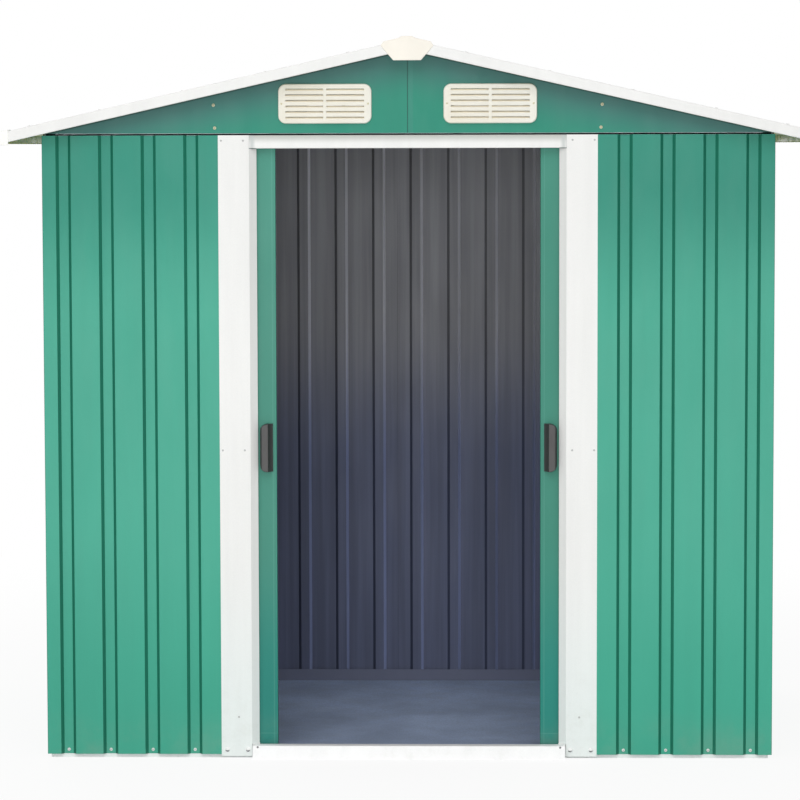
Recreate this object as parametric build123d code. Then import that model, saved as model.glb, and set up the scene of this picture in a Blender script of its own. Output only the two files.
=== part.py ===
from build123d import *
import math
import os

# A metal garden shed with two sliding doors, in millimetres.
# X runs across the front, the front faces -Y, and Z = 0 is the floor it stands on.
# The origin is at the middle of the base.

# Walls
wall_width = 1866.0        # across the front, corner to corner
wall_depth = 1186.0        # front to rear, corner to corner
wall_foot = 10.0           # gap under the wall sheets
wall_top = 1601.5          # top edge of the wall sheets
sheet = 0.5                # wall, gable and roof sheet
frame_sheet = 0.8          # rails, channels and trims
bend_radius = 1.5          # inside radius of the folds that show
fold_share = 0.45          # of a flat, the most that the fold at one end takes up
slight_fold = 50.0         # a fold that turns less than this is drawn sharp, in degrees
corner_fold = 22.0         # front and rear sheets turned round the corners
sheet_lap = 25.0           # one sheet behind the next
edge_gap = 1.0             # ends of pieces that face each other

# Grooves pressed into the sheets
groove_pitch = 108.8
groove_depth = 8.0
groove_floor = 23.5        # flat floor of a groove
groove_slope = 7.5         # run of each sloping side

# Doorway
opening_width = 772.0
head_height = 33.5         # from the wall top down to the clear opening
jamb_face = 79.0           # flat face of a jamb
jamb_slant = 18.0          # slanting return, both across and inwards
jamb_hem = 10.0
jamb_foot = 5.0
jamb_cover = 71.0          # how far a front sheet runs behind its jamb

# Base frame, floor and threshold
rail_height = 45.0
rail_leg = 35.0
track_front = 34.0         # front leg of the floor track
track_rear = 20.0
track_rib = 20.0           # rib between the sill and the guides
rib_width = 5.0
guide_gap = 6.5            # each side of a door guide in its channel
floor_board = 12.0
sill_sheet = 1.2
sill_reach = 24.0          # how far the threshold stands out from the wall
sill_lean = 6.0
sill_ear = 16.0            # threshold in front of each jamb's slant
sill_hook = 8.0

# Top channels
channel_web = 41.5         # side channels reach this far below the wall top
end_web = 29.5             # front and rear channels do this
step_gap = 5.0             # shadow gap between wall and gable
channel_rise = 14.0        # upstand of the channels above the gap
track_reach = 52.5         # depth of the door track from the gable
rear_reach = 30.0          # the same for the rear channel
rear_drop = 12.0           # the rear channel's inner lip
eave_flange = 30.0
track_short = 33.0         # front and rear channels stop this far from the corners
lip_drop = 34.5            # from the track's top down to the lip that the rollers run on
lip_width = 12.0

# Roof
pitch_rise = 0.2267        # rise over run
roof_clear = 20.5          # roof sheets above the wall top at the corners
side_overhang = 100.0      # beyond the side walls
end_overhang = 50.0        # beyond the front and rear walls
rib_height = 8.0
trim_height = 28.0
trim_lip = 25.0
trim_return = 8.0
ridge_half = 62.0          # each wing of the ridge cap
gable_flange = 20.0
beam_offset = 495.0
beam_width = 32.0
ridge_beam_width = 44.0
ridge_beam_depth = 60.0

# Plastic caps
cap_wall = 3.0
cap_half = 67.0
cap_shoulder = 7.0         # slanting ends of the peak cap
cap_tip = 2.0              # its tips below the trims' top
cap_foot_half = 35.0
cap_height = 61.0
cap_rise = 7.0             # above the trims
cap_knob = 13.0            # half of the flat top
cap_knob_slope = 9.0
cap_depth = 40.0
cap_round = 4.0
cap_edge = 1.2
corner_cap_leg = 22.0

# Vents
vent_width = 238.0
vent_height = 101.0
vent_depth = 9.0
vent_radius = 20.0
vent_offset = 210.0
vent_rise = 79.5           # vent's middle above the wall top
vent_hole_margin = 14.0
vent_wall = 2.5
vent_draft = 8.0           # slope of the moulded sides, in degrees
vent_edge = 1.2            # rounding of the front edge
field_recess = 0.8         # louvre field set back from the frame
field_margin = 5.0         # the field beyond its slots
slot_width = 96.0
slot_height = 5.0
slot_rows = 6
slot_pitch = 14.2
slot_column = 52.0         # each column's middle from the vent's middle
blade_sheet = 1.4
blade_pitch = 45.0         # blades rise towards the inside, in degrees

# Doors
door_width = 430.0
door_foot = 30.0           # behind the threshold's top edge
door_drop = 8.0            # door's top edge under the lip
door_thickness = 20.0
door_hem = 10.0
door_clearance = 7.0       # behind the jambs
door_grooves = 3
rail_end_clear = 0.3
door_rail = 25.0
handle_gap = 5.0           # handle to jamb when open
handle_width = 33.0
handle_height = 123.0
handle_depth = 26.0
handle_foot = 4.0          # rim that lies on the door
handle_side = 5.0          # leaning side towards the jamb, seen from the front
handle_scoop = 11.0        # finger hollow along the opening side
handle_sag = 2.5           # how far the hollow bows into the grip
handle_round = 19.0        # its corners towards the jamb
handle_edge = 1.2
handle_centre = 802.0
handle_inset = 10.0        # from the leading edge
wheel_radius = 12.0
wheel_width = 5.0
wheel_seat = 0.3
wheel_margin = 1.0         # wheel behind the lip's front edge
wheel_dish = 1.0           # hollow in the side of a wheel
rim_width = 2.6
axle_radius = 3.0
hanger_width = 40.0
hanger_plate = 2.0
hanger_inset = 60.0
hanger_gap = 5.0           # hanger in front of the lip
hanger_head = 6.0          # plate above the axle
hanger_round = 8.0
hanger_seat = 2.0          # foot short of the door's back
guide_width = 34.0
guide_block = 12.0         # its head, across
guide_head = 4.0           # and its height
guide_tongue = 5.0
guide_inset = 20.0
guide_clearance = 6.0
guide_chamfer = 1.5

# Mid-height brace along each side wall
brace_height = 800.0
brace_face = 40.0
brace_leg = 20.0
brace_gap = 6.0            # behind the doors

# Values that follow from the sizes above
half_width = wall_width / 2
half_depth = wall_depth / 2
opening_top = wall_top - head_height
groove_back = groove_depth + sheet              # inner face of a groove floor
side_back = groove_back + sheet                 # the same on the side walls
jamb_width = jamb_face + jamb_slant
front_y = -half_depth
back_of_front = front_y + groove_back
door_front = front_y + jamb_slant + door_clearance
door_back = door_front + door_thickness
door_middle = (door_front + door_back) / 2
door_lead = opening_width / 2 - handle_gap - handle_width - handle_inset
pitch = math.atan(pitch_rise)
trim_rise = rib_height + sheet + frame_sheet    # pan underside to trim top, square to the slope
ridge_z = wall_top + roof_clear + pitch_rise * half_width
gable_foot = wall_top + step_gap
channel_top = gable_foot + channel_rise
lip_height = channel_top - lip_drop
door_top = lip_height - door_drop
vent_centre = wall_top + vent_rise
roof_front = half_depth + end_overhang
roof_half = half_width + side_overhang
carrier_drop = sheet / math.cos(pitch)


def slope_z(x, lift=0.0):
    """Height at x of a line parallel to the roof, lifted square to the slope."""
    return ridge_z - pitch_rise * abs(x) + lift / math.cos(pitch)


def rounded(points, radii):
    """A closed outline with an arc of its own radius at each corner, 0 for a sharp one."""
    edges = []
    last = None
    count = len(points)
    for i in range(count + 1):
        corner = Vector(points[i % count])
        into = (corner - Vector(points[(i - 1) % count])).normalized()
        out = (Vector(points[(i + 1) % count]) - corner).normalized()
        half_turn = math.radians(into.get_angle(out)) / 2
        radius = radii[i % count]
        reach = radius * math.tan(half_turn)
        start, end = corner - into * reach, corner + out * reach
        if last is not None:
            edges.append(Edge.make_line(last, start))
        if reach > 0 and i < count:
            middle = corner + (out - into).normalized() * radius * (1 / math.cos(half_turn) - 1)
            edges.append(Edge.make_three_point_arc(start, middle, end))
        last = end
    return make_face(edges)


def folded(points, thickness, inside):
    """Outline of a sheet folded along points, thickened to the left of its run.

    Folds have the inside radius given, unless they are slight, pressed flat or have no room.
    """
    normals = []
    for (x0, y0), (x1, y1) in zip(points, points[1:]):
        length = math.hypot(x1 - x0, y1 - y0)
        normals.append(((y0 - y1) / length, (x1 - x0) / length))
    inner = []
    near, far = [], []
    for i, (x, y) in enumerate(points):
        before = normals[max(i - 1, 0)]
        after = normals[min(i, len(normals) - 1)]
        along = before[0] * after[0] + before[1] * after[1]
        scale = thickness / (1 + along)
        inner.append((x + (before[0] + after[0]) * scale, y + (before[1] + after[1]) * scale))
        bend = 0.0
        if 0 < i < len(points) - 1 and 0 <= round(along, 6) < math.cos(math.radians(slight_fold)):
            flats = math.dist(points[i - 1], points[i]), math.dist(points[i], points[i + 1])
            room = fold_share * min(flats)
            bend = min(inside, room * math.sqrt((1 + along) / (1 - along)) - thickness)
            bend = bend if bend > inside / 2 else 0.0
        turns_left = before[0] * after[1] - before[1] * after[0] > 0
        wide = bend + thickness if bend else 0.0
        near.append(wide if turns_left else bend)
        far.append(bend if turns_left else wide)
    return rounded(points + inner[::-1], near + far[::-1])


def block(x0, x1, y0, y1, z0, z1):
    """A box from its limits."""
    size = Box(x1 - x0, y1 - y0, z1 - z0, align=(Align.MIN, Align.MIN, Align.MIN))
    return Pos(x0, y0, z0) * size


def both_sides(shape):
    """The shape and its mirror image across the middle of the front."""
    return [shape, mirror(shape, about=Plane.YZ)]


def front_and_rear(shape):
    """The shape and its copy turned half round."""
    return [shape, Rot(0, 0, 180) * shape]


def groove_centres(length):
    """Grooves spread evenly about the middle of a wall."""
    count = int((length - groove_floor - 2 * groove_slope) / groove_pitch) + 1
    first = (length - (count - 1) * groove_pitch) / 2
    return [first + i * groove_pitch for i in range(count)]


def grooved(start, end, centres, depth=groove_depth):
    """Points along a sheet from start to end, with a groove at each centre inside it."""
    top = groove_floor / 2 + groove_slope
    floor = groove_floor / 2
    points = [(start, 0.0)]
    for c in centres:
        if c - top > start and c + top < end:
            points += [(c - top, 0.0), (c - floor, depth), (c + floor, depth), (c + top, 0.0)]
    return points + [(end, 0.0)]


# A wall is drawn with its outer face along X and its inside towards +Y, then turned.
def on_front(shape):
    return Pos(-half_width, -half_depth, 0) * shape


def on_right(shape):
    return Pos(half_width, -half_depth, 0) * Rot(0, 0, 90) * shape


def on_rear(shape):
    return Pos(half_width, half_depth, 0) * Rot(0, 0, 180) * shape


def on_left(shape):
    return Pos(-half_width, half_depth, 0) * Rot(0, 0, -90) * shape


def upright(points, thickness, z0, z1):
    """A folded sheet standing from z0 to z1."""
    outline = folded(points, thickness, bend_radius)
    return Pos(0, 0, z0) * extrude(outline, amount=z1 - z0, dir=(0, 0, 1))


def along_x(points, thickness, x0, x1, inside=0.0):
    """A sheet folded in the Y-Z plane and drawn out along X."""
    plane = Plane(origin=(x0, 0, 0), x_dir=(0, 1, 0), z_dir=(1, 0, 0))
    return extrude(plane * folded(points, thickness, inside), amount=x1 - x0, dir=(1, 0, 0))


def along_y(points, thickness, y0, y1, inside=0.0):
    """A sheet folded in the X-Z plane and drawn out along Y."""
    plane = Plane(origin=(0, y1, 0), x_dir=(1, 0, 0), z_dir=(0, -1, 0))
    return extrude(plane * folded(points, thickness, inside), amount=y1 - y0, dir=(0, -1, 0))


def seen_from_front(outline, y_front, depth):
    """An outline drawn in X and Z, thickened from y_front towards the rear."""
    plane = Plane(origin=(0, y_front, 0), x_dir=(1, 0, 0), z_dir=(0, -1, 0))
    return extrude(plane * outline, amount=depth, dir=(0, 1, 0))


def polygon(*points):
    return make_face(Polyline(*points, close=True))


# Wall sheets
def front_wall_left():
    visible = half_width - opening_width / 2 - jamb_width
    centres = [groove_pitch / 2 + i * groove_pitch for i in range(int(visible / groove_pitch))]
    points = [(0.0, corner_fold)] + grooved(0.0, visible + jamb_cover, centres)
    return on_front(upright(points, sheet, wall_foot, wall_top))


def side_wall():
    inset = sheet + bend_radius + edge_gap / 2
    points = grooved(inset, wall_depth - inset, groove_centres(wall_depth))
    points = [(u, v + sheet) for u, v in points]
    return upright(points, sheet, wall_foot, wall_top)


def rear_wall_halves():
    centres = groove_centres(wall_width)
    middle = half_width + groove_pitch / 2
    first = [(0.0, corner_fold)] + grooved(0.0, middle, centres)
    second = grooved(middle + sheet, wall_width, centres)[1:] + [(wall_width, corner_fold)]
    lap = [(middle - sheet_lap, sheet), (middle, sheet), (middle + sheet, 0.0)]
    left_seen_inside = upright(first, sheet, wall_foot, wall_top)
    right_seen_inside = upright(lap + second, sheet, wall_foot, wall_top)
    return on_rear(left_seen_inside), on_rear(right_seen_inside)


# Base frame
def base_rails():
    side = [(0.0, rail_height), (0.0, 0.0), (rail_leg, 0.0)]
    front_end = front_y + groove_back + track_depth() + edge_gap
    rear_end = half_depth - groove_back - rail_leg - edge_gap
    x_face = half_width - side_back
    left = along_y([(x - x_face, z) for x, z in side], frame_sheet, front_end, rear_end)
    y_face = half_depth - groove_back
    rear = [(y_face - rail_leg, 0.0), (y_face, 0.0), (y_face, rail_height)]
    return both_sides(left) + [along_x(rear, frame_sheet, -x_face, x_face)]


def track_lines():
    """Y places of the floor track's folds, from the front leg to the rear one."""
    guide_front = door_middle - guide_tongue / 2 - guide_gap
    guide_rear = door_middle + guide_tongue / 2 + guide_gap
    return back_of_front, guide_front - rib_width, guide_front, guide_rear


def track_depth():
    lines = track_lines()
    return lines[3] + frame_sheet - lines[0]


def floor_track():
    front, rib0, rib1, rear = track_lines()
    points = [(front, track_front), (front, 0.0), (rib0, 0.0), (rib0, track_rib),
              (rib1 - frame_sheet, track_rib), (rib1 - frame_sheet, 0.0),
              (rear + frame_sheet, 0.0), (rear + frame_sheet, track_rear)]
    x_face = half_width - side_back
    return along_x(points, frame_sheet, -x_face, x_face)


def threshold():
    top = track_front + sill_sheet
    nose = front_y - sill_reach
    hook = back_of_front + frame_sheet + bend_radius + sill_sheet
    points = [(hook, top - sill_hook), (hook, top), (nose + sill_lean, top), (nose, 0.0)]
    reach = opening_width / 2 + sill_ear
    sill = along_x(points, sill_sheet, -reach, reach, bend_radius)
    ear = block(opening_width / 2 - edge_gap / 2, reach + edge_gap,
                front_y - frame_sheet - edge_gap, hook + edge_gap, -edge_gap, top + edge_gap)
    ground = block(-reach, reach, nose - sill_lean, hook, -sill_lean, 0.0)
    for cut in both_sides(ear) + [ground]:
        sill -= cut
    return sill


def floor():
    x_edge = half_width - side_back - frame_sheet - edge_gap
    y_front = track_lines()[3] + frame_sheet + edge_gap
    y_rear = half_depth - groove_back - frame_sheet - edge_gap
    return block(-x_edge, x_edge, y_front, y_rear, frame_sheet, frame_sheet + floor_board)


# Doorway surround
def left_jamb():
    outer = -opening_width / 2 - jamb_width
    edge = -opening_width / 2
    face = front_y - frame_sheet
    points = [(outer, face), (outer + jamb_face, face), (edge, face + jamb_slant),
              (edge - jamb_hem, face + jamb_slant)]
    jamb = upright(points, frame_sheet, jamb_foot, wall_top)
    clear_foot = track_front + sill_sheet + edge_gap
    for z0, z1 in ((0.0, clear_foot), (opening_top - edge_gap, wall_top + edge_gap)):
        jamb -= block(outer + jamb_face, edge + edge_gap, face - edge_gap, door_front, z0, z1)
    return jamb


def head_rail():
    face = front_y - frame_sheet
    points = [(back_of_front, wall_top), (face, wall_top), (face, opening_top),
              (face + jamb_slant, opening_top)]
    reach = opening_width / 2 + jamb_slant - edge_gap / 2
    head = along_x(points, frame_sheet, -reach, reach, bend_radius)
    notch = block(opening_width / 2 - edge_gap, reach + edge_gap, front_y, door_front,
                  opening_top - edge_gap, wall_top + edge_gap)
    for cut in both_sides(notch):
        head -= cut
    return head


# Channels along the tops of the walls
def end_channel_points(y_face, inward, reach):
    """Front or rear channel: web behind the wall, step over it, upstand and top."""
    gable_back = y_face + inward * sheet
    web = y_face + inward * groove_back
    return [(web, wall_top - end_web), (web, gable_foot), (gable_back, gable_foot),
            (gable_back, channel_top), (gable_back + inward * reach, channel_top)]


def door_top_track():
    points = end_channel_points(front_y, 1, track_reach)
    rear = points[-1][0]
    points += [(rear, lip_height), (rear - lip_width, lip_height)]
    reach = half_width - track_short
    return along_x(list(reversed(points)), frame_sheet, -reach, reach)


def top_channels():
    rear = end_channel_points(half_depth, -1, rear_reach)
    rear.append((rear[-1][0], channel_top - rear_drop))
    reach = half_width - track_short
    pieces = [along_x(rear, frame_sheet, -reach, reach)]
    web = -half_width + side_back
    out = -half_width + 2 * sheet
    top = slope_z(out) - carrier_drop
    flange = out + eave_flange
    side = [(flange, slope_z(flange) - carrier_drop), (out, top), (out, gable_foot),
            (web, gable_foot), (web, wall_top - channel_web)]
    y_end = half_depth - sheet
    return pieces + both_sides(along_y(side, frame_sheet, -y_end, y_end))


def wall_braces():
    top = brace_height + brace_face / 2
    foot = brace_height - brace_face / 2
    web = -half_width + side_back
    side = [(web + brace_leg, top), (web, top), (web, foot)]
    y_end = half_depth - groove_back - edge_gap
    return both_sides(along_y(side, frame_sheet, door_back + brace_gap, y_end))


# Gables
def gable_half(with_lap):
    """The right half of the front gable, with its flange under the roof."""
    end_z = slope_z(half_width)
    panel = seen_from_front(polygon((0, gable_foot), (half_width, gable_foot),
                                    (half_width, end_z), (0, slope_z(0))), front_y, sheet)
    panel += seen_from_front(polygon((0, slope_z(0)), (half_width, end_z),
                                     (half_width, end_z - carrier_drop),
                                     (0, slope_z(0) - carrier_drop)), front_y, gable_flange)
    hole = Rectangle(vent_width - 2 * vent_hole_margin, vent_height - 2 * vent_hole_margin)
    panel -= seen_from_front(Pos(vent_offset, vent_centre) * hole, front_y, sheet)
    if with_lap:
        foot = channel_top + edge_gap
        top = carrier_drop + 2 * edge_gap
        behind = polygon((-sheet_lap, foot), (sheet, foot), (sheet, slope_z(sheet) - top),
                         (-sheet_lap, slope_z(sheet_lap) - top))
        step = polygon((0, foot), (2 * sheet, foot), (2 * sheet, slope_z(2 * sheet) - top),
                       (0, slope_z(0) - top))
        panel += seen_from_front(behind, front_y + sheet, sheet)
        panel += seen_from_front(step, front_y, 2 * sheet)
    return panel


# Roof carriers
def roof_beams():
    inner = beam_offset - beam_width / 2
    outer = beam_offset + beam_width / 2
    top_in = slope_z(inner) - carrier_drop
    top_out = slope_z(outer) - carrier_drop
    points = [(inner, channel_top), (outer, channel_top), (outer, top_out), (inner, top_in)]
    y_end = half_depth - sheet
    return both_sides(along_y(points, frame_sheet, -y_end, y_end))


def ridge_beam():
    half = ridge_beam_width / 2
    shoulder = slope_z(half) - carrier_drop
    peak = slope_z(0) - carrier_drop
    foot = shoulder - ridge_beam_depth
    points = [(half, foot), (half, shoulder), (0.0, peak), (-half, shoulder), (-half, foot)]
    y_end = half_depth - 2 * sheet
    return along_y(points, frame_sheet, -y_end, y_end)


# Roof
right_slope = Plane(origin=(0, 0, ridge_z), x_dir=(0, 1, 0),
                    z_dir=(math.cos(pitch), 0, -math.sin(pitch)))


def down_slope(points, thickness, x0, x1, inside=0.0):
    """A sheet folded across the right slope and run down it, cut plumb at x0 and x1."""
    run = (x1 + trim_height) / math.cos(pitch)
    plane = right_slope.offset(-trim_height)
    long = extrude(plane * folded(points, thickness, inside), amount=run + 2 * trim_height,
                   dir=right_slope.z_dir)
    return long & block(x0, x1, -2 * roof_front, 2 * roof_front, 0, 2 * ridge_z)


def roof_sheets():
    """Front and rear sheets of the right slope."""
    length = 2 * (roof_front - frame_sheet)
    edge = roof_front - frame_sheet
    centres = groove_centres(length)
    middle = length / 2 + groove_pitch / 2
    first = grooved(0.0, middle - sheet, centres, rib_height)
    second = grooved(middle + sheet, length, centres, rib_height)[1:]
    step = [(middle - sheet_lap, -sheet), (middle, -sheet), (middle + sheet, 0.0)]
    x_end = roof_half - frame_sheet - bend_radius
    sheets = []
    for points in (first, step + second):
        placed = [(u - edge, v) for u, v in points]
        sheets.append(down_slope(placed, sheet, edge_gap, x_end))
    return sheets


def roof_trim():
    """White edge trim of the right slope at the front."""
    top = trim_rise
    foot = trim_rise - trim_height * math.cos(pitch)
    face = -roof_front
    points = [(face + trim_lip, top), (face, top), (face, foot), (face + trim_return, foot)]
    return down_slope(points, frame_sheet, edge_gap, roof_half, bend_radius)


def eave_trim():
    top_in = slope_z(roof_half - trim_lip, trim_rise)
    top_out = slope_z(roof_half, trim_rise)
    points = [(roof_half - trim_return, top_out - trim_height), (roof_half, top_out - trim_height),
              (roof_half, top_out), (roof_half - trim_lip, top_in)]
    y_end = roof_front - trim_lip - edge_gap / 2
    return along_y(points, frame_sheet, -y_end, y_end, bend_radius)


def ridge_cap():
    lift = trim_rise
    points = [(ridge_half, slope_z(ridge_half, lift)), (0.0, slope_z(0, lift)),
              (-ridge_half, slope_z(ridge_half, lift))]
    y_end = roof_front - trim_lip - edge_gap / 2
    return along_y(points, frame_sheet, -y_end, y_end)


def peak_cap():
    """Moulded cap over the meeting trims at the front."""
    apex = slope_z(0, trim_rise)
    top = apex + cap_rise
    slope_start = cap_knob + cap_knob_slope
    shoulder = cap_half - cap_shoulder
    right = [(cap_knob, top), (slope_start, slope_z(slope_start, trim_rise) + cap_rise),
             (shoulder, slope_z(shoulder, trim_rise) + cap_rise),
             (cap_half, slope_z(cap_half, trim_rise) - cap_tip), (cap_foot_half, top - cap_height)]
    left = [(-x, z) for x, z in reversed(right)]
    face = polygon(*right, *left)
    cap = seen_from_front(fillet(face.vertices(), cap_round), -roof_front - cap_wall,
                          cap_wall + cap_depth)
    front_edges = cap.faces().sort_by(Axis.Y)[0].edges()
    cap = chamfer(front_edges, cap_edge)
    reach = cap_half + cap_round
    under = polygon((-reach, slope_z(reach, trim_rise)), (0, apex), (reach, slope_z(reach, trim_rise)),
                    (reach, apex - 2 * cap_height), (-reach, apex - 2 * cap_height))
    return cap - seen_from_front(under, -roof_front, cap_depth)


def corner_cap():
    """Moulded cap at the front right corner of the roof."""
    inner = roof_half - corner_cap_leg
    outer = roof_half + cap_wall
    lid_in = slope_z(inner, trim_rise) + cap_wall
    lid_out = slope_z(outer, trim_rise) + cap_wall
    foot = slope_z(roof_half, trim_rise) - trim_height - cap_wall
    depth = trim_lip + corner_cap_leg + cap_wall
    cap = seen_from_front(polygon((inner, lid_in), (outer, lid_out), (outer, foot), (inner, foot)),
                          -roof_front - cap_wall, depth)
    seen = cap.faces().sort_by(Axis.Y)[0].edges() + cap.faces().sort_by(Axis.X)[-1].edges()
    cap = chamfer(ShapeList(set(seen)), cap_edge)
    room = polygon((inner - cap_wall, lid_in - cap_wall + pitch_rise * cap_wall),
                   (roof_half, lid_out - cap_wall + pitch_rise * cap_wall),
                   (roof_half, foot - cap_wall), (inner - cap_wall, foot - cap_wall))
    return cap - seen_from_front(room, -roof_front, depth)


# Vents
def front_vent():
    """Moulded louvre vent on the right half of the front gable."""
    plane = Plane(origin=(vent_offset, front_y, vent_centre), x_dir=(1, 0, 0), z_dir=(0, -1, 0))
    face_y = front_y - vent_depth
    back_y = face_y + field_recess + vent_wall
    body = extrude(plane * RectangleRounded(vent_width, vent_height, vent_radius),
                   amount=vent_depth, taper=vent_draft)
    body = chamfer(body.faces().sort_by(Axis.Y)[0].edges(), vent_edge)
    rows = [(row - (slot_rows - 1) / 2) * slot_pitch for row in range(slot_rows)]
    slots_x = slot_column + slot_width / 2
    field_x = slots_x + field_margin
    field_z = rows[-1] + slot_height / 2 + field_margin
    body -= block(vent_offset - field_x, vent_offset + field_x, back_y, front_y,
                  vent_centre - field_z, vent_centre + field_z)
    field = Pos(vent_offset, vent_centre) * Rectangle(2 * field_x, 2 * field_z)
    body -= seen_from_front(field, face_y, field_recess)
    rise = math.tan(math.radians(blade_pitch))
    for z in [vent_centre + row for row in rows]:
        for column in (-slot_column, slot_column):
            x = vent_offset + column
            body -= block(x - slot_width / 2, x + slot_width / 2, face_y, back_y,
                          z - slot_height / 2, z + slot_height / 2)
        foot = z - slot_height / 2
        run = front_y - back_y - blade_sheet
        blade = [(back_y + run, foot + run * rise), (back_y, foot), (back_y - vent_wall / 2, foot)]
        body += along_x(blade, blade_sheet, vent_offset - slots_x, vent_offset + slots_x)
    return body


# Doors, drawn as the right one and mirrored for the left
def door_panel():
    margin = (door_width - (door_grooves - 1) * groove_pitch) / 2
    centres = [margin + i * groove_pitch for i in range(door_grooves)]
    face = [(u, v + door_front) for u, v in grooved(0.0, door_width, centres)]
    points = ([(door_hem, door_back), (0.0, door_back)] + face
              + [(door_width, door_back), (door_width - door_hem, door_back)])
    points = [(u + door_lead, y) for u, y in points]
    return upright(points, sheet, door_foot, door_top)


def door_rails():
    inset = sheet + bend_radius + rail_end_clear
    x0 = door_lead + inset
    x1 = door_lead + door_width - inset
    front = door_front + groove_back
    back = door_back - sheet
    top = [(back, door_top - door_rail), (back, door_top), (front, door_top),
           (front, door_top - door_rail)]
    foot = [(front, door_foot + door_rail), (front, door_foot), (back, door_foot),
            (back, door_foot + door_rail)]
    return [along_x(top, frame_sheet, x0, x1), along_x(foot, frame_sheet, x0, x1)]


def wheel(x, z, back):
    """Dished wheel on its axle, turned about a line along Y; the axle starts at back."""
    front = front_y + sheet + track_reach - lip_width + wheel_margin
    rear = front + wheel_width
    rim = wheel_radius - rim_width
    profile = polygon((0, back), (axle_radius, back), (axle_radius, front), (wheel_radius, front),
                      (wheel_radius, rear), (rim, rear), (rim, rear - wheel_dish), (0, rear - wheel_dish))
    section = Plane(origin=(x, 0, z), x_dir=(0, 0, 1), z_dir=(-1, 0, 0)) * profile
    return revolve(section, axis=Axis((x, 0, z), (0, 1, 0)))


def door_rollers():
    """Folded hangers that stand on the door's top rail, each with its wheel."""
    plate_back = front_y + sheet + track_reach - lip_width - hanger_gap
    plate_front = plate_back - hanger_plate
    axle_z = lip_height + frame_sheet + wheel_seat + wheel_radius
    top = axle_z + hanger_head
    points = [(plate_front, top), (plate_front, door_top), (door_back - hanger_seat, door_top)]
    rollers = []
    for u in (hanger_inset, door_width - hanger_inset):
        x = door_lead + u
        hanger = along_x(points, hanger_plate, x - hanger_width / 2, x + hanger_width / 2)
        upper = [edge for edge in hanger.edges().filter_by(Axis.Y)
                 if edge.center().Z > top - hanger_plate]
        rollers.append(fillet(upper, hanger_round) + wheel(x, axle_z, plate_back))
    return rollers


def door_guides():
    """Moulded guides under the door, with a tongue that runs in the floor track."""
    guides = []
    for u in (guide_inset, door_width - guide_inset):
        x0 = door_lead + u - guide_width / 2
        x1 = x0 + guide_width
        head = block(x0, x1, door_middle - guide_block / 2, door_middle + guide_block / 2,
                     door_foot - guide_head, door_foot)
        tongue = block(x0, x1, door_middle - guide_tongue / 2, door_middle + guide_tongue / 2,
                       frame_sheet + guide_clearance, door_foot)
        tongue = chamfer(tongue.edges().filter_by(Axis.Z), guide_chamfer)
        guides.append(head + tongue)
    return guides


def door_handle():
    """Moulded pull: straight and hollowed along the opening, rounded towards the jamb."""
    near = door_lead + handle_inset
    far = near + handle_width
    low = handle_centre - handle_height / 2
    high = handle_centre + handle_height / 2
    face = door_front - handle_depth
    outline = polygon((near, low), (far, low), (far, high), (near, high))
    rounded_side = outline.vertices().sort_by(Axis.X)[2:]
    grip = seen_from_front(fillet(rounded_side, handle_round), face, handle_depth)
    hollow = Line((near, door_front - handle_foot), (near + handle_scoop, face))
    arc = ThreePointArc(hollow @ 0, hollow @ 0.5 + Vector(handle_sag, 0), hollow @ 1)
    section = make_face([arc, Line(hollow @ 1, (far - handle_side, face)),
                         Line((far - handle_side, face), (far, door_front - handle_foot)),
                         Line((far, door_front - handle_foot), (far, door_front)),
                         Line((far, door_front), (near, door_front)),
                         Line((near, door_front), hollow @ 0)])
    grip &= Pos(0, 0, low) * extrude(section, amount=handle_height, dir=(0, 0, 1))
    return chamfer(grip.faces().sort_by(Axis.Y)[0].edges(), handle_edge)


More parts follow.
